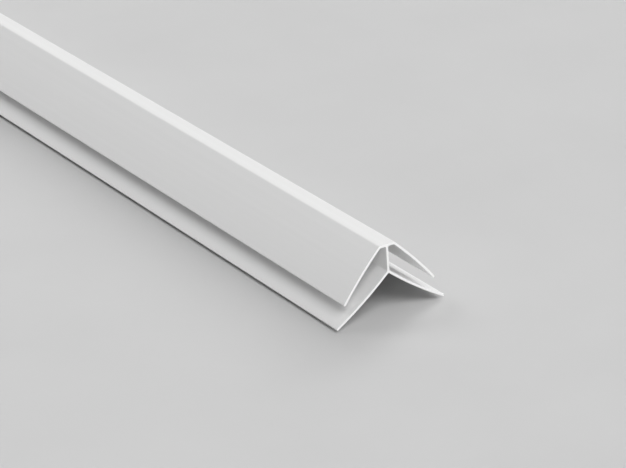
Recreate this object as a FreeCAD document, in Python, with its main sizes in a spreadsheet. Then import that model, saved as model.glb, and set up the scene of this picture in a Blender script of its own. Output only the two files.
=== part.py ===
"""Outside corner moulding for wall panels: one extruded strip of rigid white PVC.

The section is a thin wall of even thickness. Two rear legs straddle the corner of the wall. A web
stands on their junction and carries a flat nose, from which two front flanges come down over the
edges of the panels. Each panel slides into the slot between a rear leg and a front flange.

The strip lies as it does on a floor: on the free edges of its rear legs, with its nose up.
X runs along the length, Y across the section and Z up. The origin is on the floor, under the
middle of the nose and half-way along the strip. Sizes are in millimetres and degrees.
"""

import FreeCAD, Part
import math
import os
import Sketcher

NODE = "corner_profile"

# Driving dimensions. The lengths of the legs and flanges run to the ends of their round edges.
SIZES = {
    "length": 2400.0,        # stock length of the strip
    "wall": 1.1,             # wall thickness, the same everywhere
    "panel": 10.0,           # thickness of the wall panels
    "panel_play": 0.5,       # room for the panel once the legs are pressed flat on a square corner
    "nose_width": 7.6,       # across the nose, between the sharp corners of its middle line
    "bend_radius": 0.5,      # inside of the bends from the nose to the front flanges
    "front_length": 30.2,    # front flange, from the nose's sharp corner
    "front_angle": 41.6,     # front flange's chord, from the plane of the web
    "front_radius": 190.0,   # front flange's bow, at the middle of the wall
    "rear_length": 35.0,     # rear leg, from the junction under the web
    "rear_angle": 54.4,      # rear leg's chord, from the plane of the web
    "rear_radius": 190.0,    # rear leg's bow, at the middle of the wall
    "root_radius": 0.8,      # fillets beside the web and under the junction
}

HALF_WALL = "sizes.wall / 2"
HALF_NOSE = "sizes.nose_width / 2"
OUTER_BEND = "sizes.bend_radius + sizes.wall"
# On a square corner the panels stand a slot's width off the legs, so the sharp corner of the
# flanges lies that width times root two from the junction. The nose cuts it off.
WEB_HEIGHT = "(sizes.panel + sizes.panel_play + sizes.wall) * sqrt(2) - sizes.nose_width / 2"
# The legs stand on the floor on their round edges.
JUNCTION_HEIGHT = "(sizes.rear_length - sizes.wall / 2) * cos(sizes.rear_angle) + sizes.wall / 2"

# The points of a sketched curve, and the sketch's own origin and upright axis.
START, END, CENTRE = 1, 2, 3
ORIGIN = (-1, START)
UPRIGHT = -2

# Length below which two positions are the same.
SAME = 1e-4


def make_sheet(doc):
    """The driving dimensions, one row each, with an alias on the number."""
    sheet = doc.addObject("Spreadsheet::Sheet", "sizes")
    for row, (alias, value) in enumerate(SIZES.items(), start=1):
        sheet.set(f"A{row}", alias)
        sheet.set(f"B{row}", str(value))
        sheet.setAlias(f"B{row}", alias)
    doc.recompute()
    return sheet


def origin_plane(body, role):
    """One of a body's own origin planes."""
    return next(feature for feature in body.Origin.OriginFeatures if feature.Role == role)


class HalfSection:
    """The right half of the section: the sketch's x runs across the strip and its y runs up."""

    def __init__(self, body):
        self.sketch = body.newObject("Sketcher::SketchObject", "half_section")
        self.sketch.AttachmentSupport = [(origin_plane(body, "YZ_Plane"), "")]
        self.sketch.MapMode = "FlatFace"

    def value(self, expression):
        """What an expression on the sheet comes to."""
        return float(self.sketch.evalExpression(expression))

    def line(self, start, end, construction=False):
        """A straight line between two points."""
        segment = Part.LineSegment(FreeCAD.Vector(*start, 0), FreeCAD.Vector(*end, 0))
        return self.sketch.addGeometry(segment, construction)

    def arc(self, centre, radius, first, last):
        """An arc that runs anticlockwise from one direction to another, in degrees."""
        circle = Part.Circle(FreeCAD.Vector(*centre, 0), FreeCAD.Vector(0, 0, 1), radius)
        curve = Part.ArcOfCircle(circle, math.radians(first), math.radians(last))
        return self.sketch.addGeometry(curve, False)

    def rule(self, kind, *where):
        """A constraint without a size."""
        self.sketch.addConstraint(Sketcher.Constraint(kind, *where))

    def size(self, name, expression, kind, *where):
        """A constraint whose size follows the sheet."""
        start = self.value(expression)
        if kind == "Angle":
            start = math.radians(start)
        number = self.sketch.addConstraint(Sketcher.Constraint(kind, *where, start))
        self.sketch.renameConstraint(number, name)
        self.sketch.setExpression(f"Constraints.{name}", expression)

    def bowed_wall(self, name, root, bow):
        """A wall from a root point, out and down to a round free edge.

        Its bow is 1 where it turns down on its way out, and -1 where it turns up. Gives back its
        chord, its upper face and its lower face. The faces are drawn from the end with the
        smaller direction, so the free edge is at the START of a wall that turns down.
        """
        reach_rule = f"sizes.{name}_length - sizes.wall / 2"
        reach = self.value(reach_rule)
        angle = self.value(f"sizes.{name}_angle")
        radius = self.value(f"sizes.{name}_radius")
        half_wall = self.value(HALF_WALL)

        lean = math.radians(angle)
        tip = (root[0] + reach * math.sin(lean), root[1] - reach * math.cos(lean))
        half_turn = math.asin(reach / 2 / radius)
        depth = bow * radius * math.cos(half_turn)
        centre = (
            (root[0] + tip[0]) / 2 - depth * math.cos(lean),
            (root[1] + tip[1]) / 2 - depth * math.sin(lean),
        )
        turn = math.degrees(half_turn)
        facing = angle if bow > 0 else angle + 180
        edge_facing = angle - 90 - bow * turn

        chord = self.line(root, tip, construction=True)
        upper = self.arc(centre, radius + bow * half_wall, facing - turn, facing + turn)
        lower = self.arc(centre, radius - bow * half_wall, facing - turn, facing + turn)
        edge = self.arc(tip, half_wall, edge_facing - 90, edge_facing + 90)
        free = START if bow > 0 else END

        self.size(f"{name}_reach", reach_rule, "Distance", chord)
        self.size(f"{name}_lean", f"sizes.{name}_angle", "Angle", UPRIGHT, END, chord, START)
        self.size(f"{name}_bow", f"sizes.{name}_radius", "Distance", chord, START, upper, CENTRE)
        self.size(f"{name}_upper", f"sizes.{name}_radius + {bow} * sizes.wall / 2", "Radius", upper)
        self.size(f"{name}_lower", f"sizes.{name}_radius - {bow} * sizes.wall / 2", "Radius", lower)
        self.rule("Coincident", upper, CENTRE, lower, CENTRE)
        self.rule("Coincident", edge, CENTRE, chord, END)
        self.rule("Tangent", upper, free, edge, END)
        self.rule("Tangent", lower, free, edge, START)
        return chord, upper, lower


def draw_half_section(body):
    """The outline from the nose, round the front flange and the slot, to the underside."""
    section = HalfSection(body)
    half_wall = section.value(HALF_WALL)
    junction = section.value(JUNCTION_HEIGHT)
    nose = junction + section.value(WEB_HEIGHT)
    half_nose = section.value(HALF_NOSE)
    leg, slot_floor, underside = section.bowed_wall("rear", (0, junction), -1)
    flange, face, slot_roof = section.bowed_wall("front", (half_nose, nose), 1)

    # The bends join the nose to the front flange.
    outer = section.value(OUTER_BEND)
    inner = section.value("sizes.bend_radius")
    flange_turn = math.asin(section.value("sizes.front_length / 2 / sizes.front_radius"))
    flange_start = section.value("sizes.front_angle") + math.degrees(flange_turn)
    set_back = (inner + half_wall) * math.tan(math.radians(90 - flange_start) / 2)
    bend = (half_nose - set_back, nose - half_wall - inner)
    top, under = nose + half_wall, nose - half_wall
    nose_top = section.line((0, top), (bend[0], top))
    bend_outer = section.arc(bend, outer, flange_start, 90)
    bend_inner = section.arc(bend, inner, flange_start, 90)
    nose_under = section.line((half_wall, under), (bend[0], under))
    web = section.line((half_wall, under), (half_wall, junction + half_wall))
    middle = section.line((0, junction - half_wall), (0, top))

    # Leg: from the upright axis down to the floor.
    section.rule("PointOnObject", leg, START, UPRIGHT)
    section.size("rest", HALF_WALL, "DistanceY", *ORIGIN, leg, END)

    # Nose: above the junction, with the flange's chord on the sharp corner of its middle line.
    section.size("half_nose", HALF_NOSE, "DistanceX", *ORIGIN, flange, START)
    section.size("web_height", WEB_HEIGHT, "DistanceY", leg, START, flange, START)
    section.rule("PointOnObject", nose_top, START, UPRIGHT)
    section.rule("Horizontal", nose_top)
    section.rule("Horizontal", nose_under)
    section.size("nose_over", HALF_WALL, "DistanceY", flange, START, nose_top, START)
    section.size("nose_below", HALF_WALL, "DistanceY", nose_under, START, flange, START)

    # Bends.
    section.size("bend_outside", OUTER_BEND, "Radius", bend_outer)
    section.size("bend_inside", "sizes.bend_radius", "Radius", bend_inner)
    section.rule("Tangent", nose_top, END, bend_outer, END)
    section.rule("Tangent", bend_outer, START, face, END)
    section.rule("Tangent", nose_under, END, bend_inner, END)
    section.rule("Tangent", bend_inner, START, slot_roof, END)

    # Web: its side is the back of the slot, and its middle is where the other half begins.
    section.rule("Coincident", nose_under, START, web, START)
    section.rule("Vertical", web)
    section.size("web_side", HALF_WALL, "DistanceX", *ORIGIN, web, START)
    section.rule("Coincident", web, END, slot_floor, START)
    section.rule("PointOnObject", underside, START, UPRIGHT)
    section.rule("Coincident", underside, START, middle, START)
    section.rule("Coincident", middle, END, nose_top, START)
    return section.sketch


def inner_corners(shape, wall):
    """The lengthwise edges beside the web and under the junction."""
    names = []
    for number, edge in enumerate(shape.Edges, start=1):
        lengthwise = edge.BoundBox.XLength > wall
        at_web = abs(edge.BoundBox.Center.y) < wall / 2 + SAME
        if lengthwise and at_web:
            names.append(f"Edge{number}")
    return names


def make_strip(doc):
    """Half of the section drawn out to length, mirrored, with its inner corners rounded."""
    body = doc.addObject("PartDesign::Body", NODE)
    body.Label = NODE
    sketch = draw_half_section(body)
    doc.recompute()

    half = body.newObject("PartDesign::Pad", "half_strip")
    half.Profile = sketch
    half.SideType = "Symmetric"
    half.setExpression("Length", "sizes.length")
    doc.recompute()

    whole = body.newObject("PartDesign::Mirrored", "whole_strip")
    whole.Originals = [half]
    whole.MirrorPlane = (origin_plane(body, "XZ_Plane"), [""])
    whole.Refine = True
    body.Tip = whole
    doc.recompute()

    rounded = body.newObject("PartDesign::Fillet", "root_fillets")
    rounded.Base = (whole, inner_corners(whole.Shape, SIZES["wall"]))
    rounded.setExpression("Radius", "sizes.root_radius")
    body.Tip = rounded
    doc.recompute()
    return body


def check(doc, body):
    """Stops the build where a feature or the finished solid is not sound."""
    for feature in doc.Objects:
        if {"Invalid", "Error"} & set(feature.State):
            raise RuntimeError(f"{feature.Name}: {feature.State}")
        shape = getattr(feature, "Shape", None)
        if shape is not None and feature.isDerivedFrom("PartDesign::Feature"):
            if shape.isNull() or not shape.isValid():
                raise RuntimeError(f"{feature.Name}: its shape is not valid")
    if len(body.Shape.Solids) != 1:
        raise RuntimeError(f"{body.Name}: {len(body.Shape.Solids)} solids")


doc = FreeCAD.newDocument("corner_moulding")
make_sheet(doc)
strip = make_strip(doc)
check(doc, strip)
os.makedirs("parts", exist_ok=True)
strip.Shape.exportStep(f"parts/{strip.Label}.step")
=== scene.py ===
"""White PVC corner moulding on a pale studio floor, seen from above its near cut end."""

import math

import bpy
from mathutils import Matrix, Vector


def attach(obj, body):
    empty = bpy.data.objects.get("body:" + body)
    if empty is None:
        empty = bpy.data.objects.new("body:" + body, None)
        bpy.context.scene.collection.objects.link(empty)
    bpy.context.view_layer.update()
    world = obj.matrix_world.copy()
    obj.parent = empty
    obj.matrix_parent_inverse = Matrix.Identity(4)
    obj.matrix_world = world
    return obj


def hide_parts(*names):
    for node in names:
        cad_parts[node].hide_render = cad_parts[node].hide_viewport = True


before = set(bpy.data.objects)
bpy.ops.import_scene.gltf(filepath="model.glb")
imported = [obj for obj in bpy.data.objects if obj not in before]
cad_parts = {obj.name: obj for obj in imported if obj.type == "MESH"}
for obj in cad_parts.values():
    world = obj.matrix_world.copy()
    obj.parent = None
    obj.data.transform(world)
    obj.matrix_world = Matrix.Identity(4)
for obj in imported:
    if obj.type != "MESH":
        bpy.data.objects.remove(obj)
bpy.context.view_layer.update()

MM = 0.001

# The section, in millimetres and degrees, as in the CAD model.
LENGTH = 2400.0
WALL = 1.1
PANEL_ROOM = 10.5
NOSE_WIDTH = 7.6
BEND_RADIUS = 0.5
FRONT_LENGTH, FRONT_ANGLE, FRONT_RADIUS = 30.2, 41.6, 190.0
REAR_LENGTH, REAR_ANGLE, REAR_RADIUS = 35.0, 54.4, 190.0
ROOT_RADIUS = 0.8
HALF_WALL = WALL / 2

# Fine shapes, in millimetres: a shallow sink along the nose, over the web, as thick places in an
# extrusion shrink, and the broken edge of the sawn ends.
SINK_DEPTH, SINK_HALF_WIDTH = 0.05, 2.6
EDGE_BREAK = 0.12

# Mesh steps along each kind of curve, and along the strip.
SINK_STEPS = 12
LONG_ARC_STEPS, BEND_STEPS, EDGE_STEPS, ROOT_STEPS = 28, 12, 14, 8
LENGTH_STEPS = 24

# Places of the two finishes among the strip's materials.
WALL_SLOT, SAWN_SLOT = 0, 1

# Map for baked finishes, in millimetres: the unrolled strip in pieces side by side, and the two
# ends beside them.
MAP_NAME = "OFBake"
MAP_PIECES = 3
MAP_GAP = 4.0
END_PITCH = 64.0

# Finishes: linear colours, and the lowest and highest roughness.
PVC_PALE, PVC_DEEP = (0.866, 0.866, 0.864), (0.850, 0.850, 0.848)
# The sawn end's colours are paler than the wall's PVC: a painted highlight that whitens the cut end.
# The streaks between the two colours are the saw's own marks.
SAWN_HIGHLIT_PALE, SAWN_HIGHLIT_DEEP = (0.955, 0.955, 0.952), (0.915, 0.915, 0.912)
FLOOR_PALE, FLOOR_DEEP = (0.686, 0.686, 0.686), (0.668, 0.668, 0.668)
PVC_ROUGHNESS, SAWN_ROUGHNESS = (0.36, 0.48), (0.60, 0.78)
PVC_IOR = 1.53
FLOOR_ROUGHNESS, FLOOR_SPECULAR = 0.9, 0.2

# Patterns: features a metre along X, Y and Z, and how much finer detail they have.
DRAW_LINES = ((1.2, 520, 520), 4.0)
CLOUDS = ((9, 60, 60), 2.0)
SAW_MARKS = ((900, 120, 3200), 2.0)
FLOOR_MOTTLE = ((14, 14, 14), 3.0)
FLOOR_TOOTH = ((1800, 1800, 1800), 1.0)

# The stretch of a pattern's values over which colour and roughness change.
PATTERN_LOW, PATTERN_HIGH = 0.3, 0.7

# Relief of the patterns, in millimetres.
DRAW_LINE_RELIEF, CLOUD_RELIEF = 0.012, 0.02
SAW_MARK_RELIEF, FLOOR_TOOTH_RELIEF = 0.03, 0.02

# Camera, read from the photograph: focal length and image point in pixels of a 626 by 468 image.
IMAGE_WIDTH, IMAGE_HEIGHT = 626, 468
FOCAL_PX = 2994.8
CAMERA_PITCH, CAMERA_TURN, CAMERA_ROLL = 24.040, 30.193, -4.028
FOOT_AT_PX = (391.14, 313.26)
PX_PER_MM = 2.2487
SENSOR_WIDTH = 36.0

# Soft lamps: compass angle from +X towards +Y, height angle, spread, and level. A level of 1 shows
# a facing surface in its own colour.
LAMPS = {
    "front_high": (355, 50, 30, 0.490),
    "front_low": (0, 4, 6, 0.190),
    "front_left_low": (315, 8, 24, 0.140),
    "left_low": (270, 8, 24, 0.110),
    "back_left": (210, 45, 24, 0.135),
    "back_low": (150, 21, 50, 0.090),
    "back_right_low": (120, 25, 24, 0.160),
    "back_right": (120, 42, 45, 0.250),
    "right": (65, 43, 35, 0.120),
}
# This lamp whitens the sawn end. It makes no reflections, which would glare along the strip.
NO_GLARE_LAMP = "front_low"
SKY_LEVEL = 0.02
BACKGROUND_LEVEL = 0.62

# The floor: its side in metres, and how far it lies under the part in millimetres, because the
# near end of a long strip rides a little off it.
FLOOR_SIDE = 24.0
FLOOR_DROP = 1.4


def bowed_wall(root, length, angle, radius, bow):
    """Centre of a wall's arcs, centre of its free edge, and the arcs' angle there.

    bow is 1 for a wall that bulges upwards and -1 for one that sags.
    """
    reach = length - HALF_WALL
    lean = math.radians(angle)
    edge = (root[0] + reach * math.sin(lean), root[1] - reach * math.cos(lean))
    half_turn = math.asin(reach / 2 / radius)
    depth = bow * radius * math.cos(half_turn)
    centre = (
        (root[0] + edge[0]) / 2 - depth * math.cos(lean),
        (root[1] + edge[1]) / 2 - depth * math.sin(lean),
    )
    facing = lean if bow > 0 else lean + math.pi
    return centre, edge, facing - bow * half_turn


def arc(centre, radius, first, last, steps, outward=1):
    """Points of an arc with their normals: outward is -1 where the solid is outside the circle."""
    found = []
    for i in range(steps + 1):
        at = first + (last - first) * i / steps
        ray = (math.cos(at), math.sin(at))
        point = (centre[0] + radius * ray[0], centre[1] + radius * ray[1])
        found.append((point, (outward * ray[0], outward * ray[1])))
    return found


def direction(a, b):
    return math.atan2(b[1] - a[1], b[0] - a[0])


def sink(level):
    """The right half of the sink in the nose's face, from its middle outwards."""
    found = []
    for i in range(SINK_STEPS + 1):
        turn = math.pi * i / SINK_STEPS
        slope = SINK_DEPTH / 2 * math.pi / SINK_HALF_WIDTH * math.sin(turn)
        normal = Vector((-slope, 1)).normalized()
        point = (SINK_HALF_WIDTH * i / SINK_STEPS, level - SINK_DEPTH / 2 * (1 + math.cos(turn)))
        found.append((point, tuple(normal)))
    return found


def half_outline():
    """The right half of the section, from the middle of the nose to the middle of the underside."""
    junction = (REAR_LENGTH - HALF_WALL) * math.cos(math.radians(REAR_ANGLE)) + HALF_WALL
    nose = junction + (PANEL_ROOM + WALL) * math.sqrt(2) - NOSE_WIDTH / 2
    top, under = nose + HALF_WALL, nose - HALF_WALL
    front_centre, front_edge, front_end = bowed_wall(
        (NOSE_WIDTH / 2, nose), FRONT_LENGTH, FRONT_ANGLE, FRONT_RADIUS, 1
    )
    rear_centre, rear_edge, rear_end = bowed_wall(
        (0, junction), REAR_LENGTH, REAR_ANGLE, REAR_RADIUS, -1
    )
    up = math.pi / 2

    def bend(level, radius, big):
        """A bend's centre: under a level, inside the flange's larger arc."""
        drop = level - radius - front_centre[1]
        return front_centre[0] + math.sqrt((big - radius) ** 2 - drop**2), level - radius

    outside, inside = FRONT_RADIUS + HALF_WALL, FRONT_RADIUS - HALF_WALL
    outer_bend = bend(top, BEND_RADIUS + WALL, outside)
    inner_bend = bend(under, BEND_RADIUS, inside)
    outer_start = direction(front_centre, outer_bend)
    inner_start = direction(front_centre, inner_bend)

    # Root fillets: under the nose, on the leg, and under the junction.
    root_y = HALF_WALL + ROOT_RADIUS
    nose_root = (root_y, under - ROOT_RADIUS)
    slot_floor, underside = REAR_RADIUS - HALF_WALL, REAR_RADIUS + HALF_WALL
    leg_drop = math.sqrt((slot_floor - ROOT_RADIUS) ** 2 - (root_y - rear_centre[0]) ** 2)
    leg_root = (root_y, rear_centre[1] - leg_drop)
    apex_drop = math.sqrt((underside + ROOT_RADIUS) ** 2 - rear_centre[0] ** 2)
    apex = (0.0, rear_centre[1] - apex_drop)
    slot_start = direction(rear_centre, leg_root) % math.tau
    apex_start = direction(rear_centre, apex) % math.tau

    line = sink(top)
    line += arc(outer_bend, BEND_RADIUS + WALL, up, outer_start, BEND_STEPS)
    line += arc(front_centre, outside, outer_start, front_end, LONG_ARC_STEPS)[1:]
    line += arc(front_edge, HALF_WALL, front_end, front_end - math.pi, EDGE_STEPS)[1:]
    line += arc(front_centre, inside, front_end, inner_start, LONG_ARC_STEPS, -1)[1:]
    line += arc(inner_bend, BEND_RADIUS, inner_start, up, BEND_STEPS, -1)[1:]
    line += arc(nose_root, ROOT_RADIUS, up, math.pi, ROOT_STEPS, -1)
    line += arc(leg_root, ROOT_RADIUS, math.pi, slot_start, ROOT_STEPS, -1)
    line += arc(rear_centre, slot_floor, slot_start, rear_end, LONG_ARC_STEPS, -1)[1:]
    line += arc(rear_edge, HALF_WALL, rear_end - math.pi, rear_end - math.tau, EDGE_STEPS)[1:]
    line += arc(rear_centre, underside, rear_end, apex_start, LONG_ARC_STEPS)[1:]
    line += arc(apex, ROOT_RADIUS, apex_start - math.pi, up, ROOT_STEPS, -1)[1:]
    return line


def outline():
    """The whole section, closed: (y, z) with outward normals, from the middle of the underside."""
    half = half_outline()
    mirrored = [((-p[0], p[1]), (-n[0], n[1])) for p, n in half[1:]]
    return list(reversed(mirrored)) + half[:-1]


def stations():
    """Places along the strip, with the broken edge of each sawn end as the first and last step."""
    half = LENGTH / 2
    inner = half - EDGE_BREAK
    steps = [-inner + 2 * inner * i / LENGTH_STEPS for i in range(LENGTH_STEPS + 1)]
    return [-half] + steps + [half]


def strip_map(section, places):
    """Two functions that give places in the baking map, for the walls and for the sawn ends."""
    girth = [0.0]
    for i in range(len(section)):
        girth.append(girth[-1] + math.dist(section[i][0], section[(i + 1) % len(section)][0]))
    pitch = girth[-1] + MAP_GAP
    side = MAP_PIECES * pitch
    piece_steps = LENGTH_STEPS // MAP_PIECES

    def place(step, station, around):
        piece = min(max(step - 1, 0) // piece_steps, MAP_PIECES - 1)
        start = places[1 + piece * piece_steps]
        along = places[station] - start + MAP_GAP / 2
        return along / side, (piece * pitch + girth[around] + MAP_GAP / 2) / side

    def end_place(number, point):
        beside = LENGTH / MAP_PIECES + 2 * MAP_GAP
        return (beside + point[1]) / side, (END_PITCH * (number + 0.5) + point[0]) / side

    return place, end_place


def build_strip():
    """The strip as one closed mesh, with exact normals on its curved walls."""
    section = outline()
    count = len(section)
    places = stations()
    last = len(places) - 1
    place, end_place = strip_map(section, places)

    points = []
    for number, x in enumerate(places):
        inset = EDGE_BREAK if number in (0, last) else 0.0
        for (y, z), (ny, nz) in section:
            points.append((x * MM, (y - ny * inset) * MM, (z - nz * inset) * MM))

    faces, normals, finishes, map_places = [], [], [], []
    for step in range(last):
        a, b = step * count, (step + 1) * count
        # Only the broken edges, in the first and last step, lean out along X.
        lean = {0: -1, last - 1: 1}.get(step, 0)
        for i in range(count):
            j = (i + 1) % count
            faces.append((a + i, b + i, b + j, a + j))
            finishes.append(SAWN_SLOT if lean else WALL_SLOT)
            corners = ((i, step, i), (i, step + 1, i), (j, step + 1, i + 1), (j, step, i + 1))
            for k, station, around in corners:
                ny, nz = section[k][1]
                normals.append(Vector((lean, ny, nz)).normalized())
                map_places.append(place(step, station, around))
    for number, (station, facing) in enumerate(((0, -1), (last, 1))):
        ring = range(count) if facing < 0 else range(count - 1, -1, -1)
        faces.append([station * count + i for i in ring])
        finishes.append(SAWN_SLOT)
        normals += [Vector((facing, 0, 0))] * count
        map_places += [end_place(number, section[i][0]) for i in ring]

    mesh = bpy.data.meshes.new("corner_moulding")
    mesh.from_pydata(points, [], faces)
    mesh.polygons.foreach_set("material_index", finishes)
    unrolled = mesh.uv_layers.new(name=MAP_NAME)
    unrolled.data.foreach_set("uv", [value for at in map_places for value in at])
    mesh.shade_smooth()
    mesh.normals_split_custom_set(normals)
    strip = bpy.data.objects.new("corner_moulding", mesh)
    bpy.context.scene.collection.objects.link(strip)
    return strip


class Finish:
    """A material on one Principled shader, with patterns in the object's own coordinates."""

    def __init__(self, name, **sockets):
        self.material = bpy.data.materials.new(name)
        self.material.use_nodes = True
        self.nodes = self.material.node_tree.nodes
        self.shader = self.nodes["Principled BSDF"]
        for socket, value in sockets.items():
            self.shader.inputs[socket.replace("_", " ")].default_value = value
        self.coordinates = self.nodes.new("ShaderNodeTexCoord").outputs["Object"]

    def link(self, output, node, socket):
        self.material.node_tree.links.new(output, node.inputs[socket])

    def noise(self, pattern):
        """A noise of about so many features a metre along X, Y and Z."""
        per_metre, detail = pattern
        mapping = self.nodes.new("ShaderNodeMapping")
        mapping.inputs["Scale"].default_value = per_metre
        self.link(self.coordinates, mapping, "Vector")
        noise = self.nodes.new("ShaderNodeTexNoise")
        noise.inputs["Scale"].default_value = 1.0
        noise.inputs["Detail"].default_value = detail
        self.link(mapping.outputs["Vector"], noise, "Vector")
        return noise.outputs["Fac"]

    def colour(self, noise, deep, pale):
        ramp = self.nodes.new("ShaderNodeValToRGB")
        first, last = ramp.color_ramp.elements
        first.position, last.position = PATTERN_LOW, PATTERN_HIGH
        first.color, last.color = (*deep, 1), (*pale, 1)
        self.link(noise, ramp, "Fac")
        self.link(ramp.outputs["Color"], self.shader, "Base Color")

    def roughness(self, noise, low, high):
        spread = self.nodes.new("ShaderNodeMapRange")
        spread.inputs["From Min"].default_value = PATTERN_LOW
        spread.inputs["From Max"].default_value = PATTERN_HIGH
        spread.inputs["To Min"].default_value = low
        spread.inputs["To Max"].default_value = high
        self.link(noise, spread, "Value")
        self.link(spread.outputs["Result"], self.shader, "Roughness")

    def relief(self, *layers):
        """Bumps of (noise, height in millimetres), one upon another."""
        below = None
        for noise, height in layers:
            bump = self.nodes.new("ShaderNodeBump")
            bump.inputs["Distance"].default_value = height * MM
            self.link(noise, bump, "Height")
            if below:
                self.link(below, bump, "Normal")
            below = bump.outputs["Normal"]
        self.link(below, self.shader, "Normal")


def pvc_wall():
    """Satin extruded PVC: fine lines drawn by the die along X, on broad cloudy patches."""
    finish = Finish("pvc_wall", IOR=PVC_IOR)
    lines = finish.noise(DRAW_LINES)
    clouds = finish.noise(CLOUDS)
    finish.colour(lines, PVC_DEEP, PVC_PALE)
    finish.roughness(clouds, *PVC_ROUGHNESS)
    finish.relief((clouds, CLOUD_RELIEF), (lines, DRAW_LINE_RELIEF))
    return finish.material


def pvc_sawn():
    """The cut ends: dry and matt, with the saw's fine level marks, coloured paler than the wall as a
    painted highlight.
    """
    finish = Finish("pvc_sawn", IOR=PVC_IOR)
    marks = finish.noise(SAW_MARKS)
    finish.colour(marks, SAWN_HIGHLIT_DEEP, SAWN_HIGHLIT_PALE)
    finish.roughness(marks, *SAWN_ROUGHNESS)
    finish.relief((marks, SAW_MARK_RELIEF))
    return finish.material


def floor_board():
    """Matt pale grey board, very slightly mottled."""
    finish = Finish("studio_floor", Roughness=FLOOR_ROUGHNESS, Specular_IOR_Level=FLOOR_SPECULAR)
    mottle = finish.noise(FLOOR_MOTTLE)
    tooth = finish.noise(FLOOR_TOOTH)
    finish.colour(mottle, FLOOR_DEEP, FLOOR_PALE)
    finish.relief((tooth, FLOOR_TOOTH_RELIEF))
    return finish.material


def lay_floor():
    half, level = FLOOR_SIDE / 2, -FLOOR_DROP * MM
    corners = [(x * half, y * half, level) for x, y in ((-1, -1), (1, -1), (1, 1), (-1, 1))]
    mesh = bpy.data.meshes.new("studio_floor")
    mesh.from_pydata(corners, [], [(0, 1, 2, 3)])
    mesh.materials.append(floor_board())
    floor = bpy.data.objects.new("studio_floor", mesh)
    bpy.context.scene.collection.objects.link(floor)


def place_camera():
    """The photograph's camera, from where it sees the foot of the near end's middle."""
    pitch, turn, roll = (math.radians(a) for a in (CAMERA_PITCH, CAMERA_TURN, CAMERA_ROLL))
    up = Vector((0, 0, 1))
    ahead = Vector((-math.cos(turn), math.sin(turn), 0))
    side = Vector((math.sin(turn), math.cos(turn), 0))
    view = math.cos(pitch) * ahead - math.sin(pitch) * up
    rise = math.sin(pitch) * ahead + math.cos(pitch) * up
    across = math.cos(roll) * side + math.sin(roll) * rise
    upward = -math.sin(roll) * side + math.cos(roll) * rise
    scale = MM / PX_PER_MM
    foot = Vector((LENGTH / 2 * MM, 0, 0))
    offset = (
        across * (FOOT_AT_PX[0] - IMAGE_WIDTH / 2)
        - upward * (FOOT_AT_PX[1] - IMAGE_HEIGHT / 2)
        + view * FOCAL_PX
    )
    camera = bpy.data.objects.new("camera", bpy.data.cameras.new("camera"))
    turned = Matrix((across, upward, -view)).transposed().to_4x4()
    camera.matrix_world = Matrix.Translation(foot - offset * scale) @ turned
    camera.data.sensor_fit = "HORIZONTAL"
    camera.data.sensor_width = SENSOR_WIDTH
    camera.data.lens = FOCAL_PX / IMAGE_WIDTH * SENSOR_WIDTH
    bpy.context.scene.collection.objects.link(camera)
    bpy.context.scene.camera = camera


def hang_lamps():
    """Distant lamps, each of which shines from its own compass and height angle."""
    for name, (compass, height, spread, level) in LAMPS.items():
        turn, rise = math.radians(compass), math.radians(height)
        flat = math.cos(rise)
        towards = Vector((flat * math.cos(turn), flat * math.sin(turn), math.sin(rise)))
        light = bpy.data.lights.new(name, "SUN")
        light.energy = math.pi * level
        light.angle = math.radians(spread)
        lamp = bpy.data.objects.new(name, light)
        lamp.rotation_mode = "QUATERNION"
        lamp.rotation_quaternion = towards.to_track_quat("Z", "Y")
        lamp.visible_glossy = name != NO_GLARE_LAMP
        bpy.context.scene.collection.objects.link(lamp)


def make_sky():
    """Even light from all round; the camera, reflections and glass see a pale background instead."""
    world = bpy.data.worlds.new("studio")
    world.use_nodes = True
    nodes, links = world.node_tree.nodes, world.node_tree.links
    sky = nodes["Background"]
    sky.inputs["Color"].default_value = (1, 1, 1, 1)
    sky.inputs["Strength"].default_value = SKY_LEVEL
    background = nodes.new("ShaderNodeBackground")
    background.inputs["Color"].default_value = (1, 1, 1, 1)
    background.inputs["Strength"].default_value = BACKGROUND_LEVEL
    path = nodes.new("ShaderNodeLightPath")
    seen = path.outputs["Is Camera Ray"]
    for ray in ("Is Glossy Ray", "Is Transmission Ray"):
        either = nodes.new("ShaderNodeMath")
        either.operation = "MAXIMUM"
        links.new(seen, either.inputs[0])
        links.new(path.outputs[ray], either.inputs[1])
        seen = either.outputs["Value"]
    mix = nodes.new("ShaderNodeMixShader")
    links.new(seen, mix.inputs["Fac"])
    links.new(sky.outputs["Background"], mix.inputs[1])
    links.new(background.outputs["Background"], mix.inputs[2])
    links.new(mix.outputs["Shader"], nodes["World Output"].inputs["Surface"])
    bpy.context.scene.world = world


strip = build_strip()
strip.data.materials.append(pvc_wall())
strip.data.materials.append(pvc_sawn())
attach(strip, "root")
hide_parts("corner_profile")

lay_floor()
place_camera()
hang_lamps()
make_sky()
bpy.context.scene.view_settings.view_transform = "Standard"
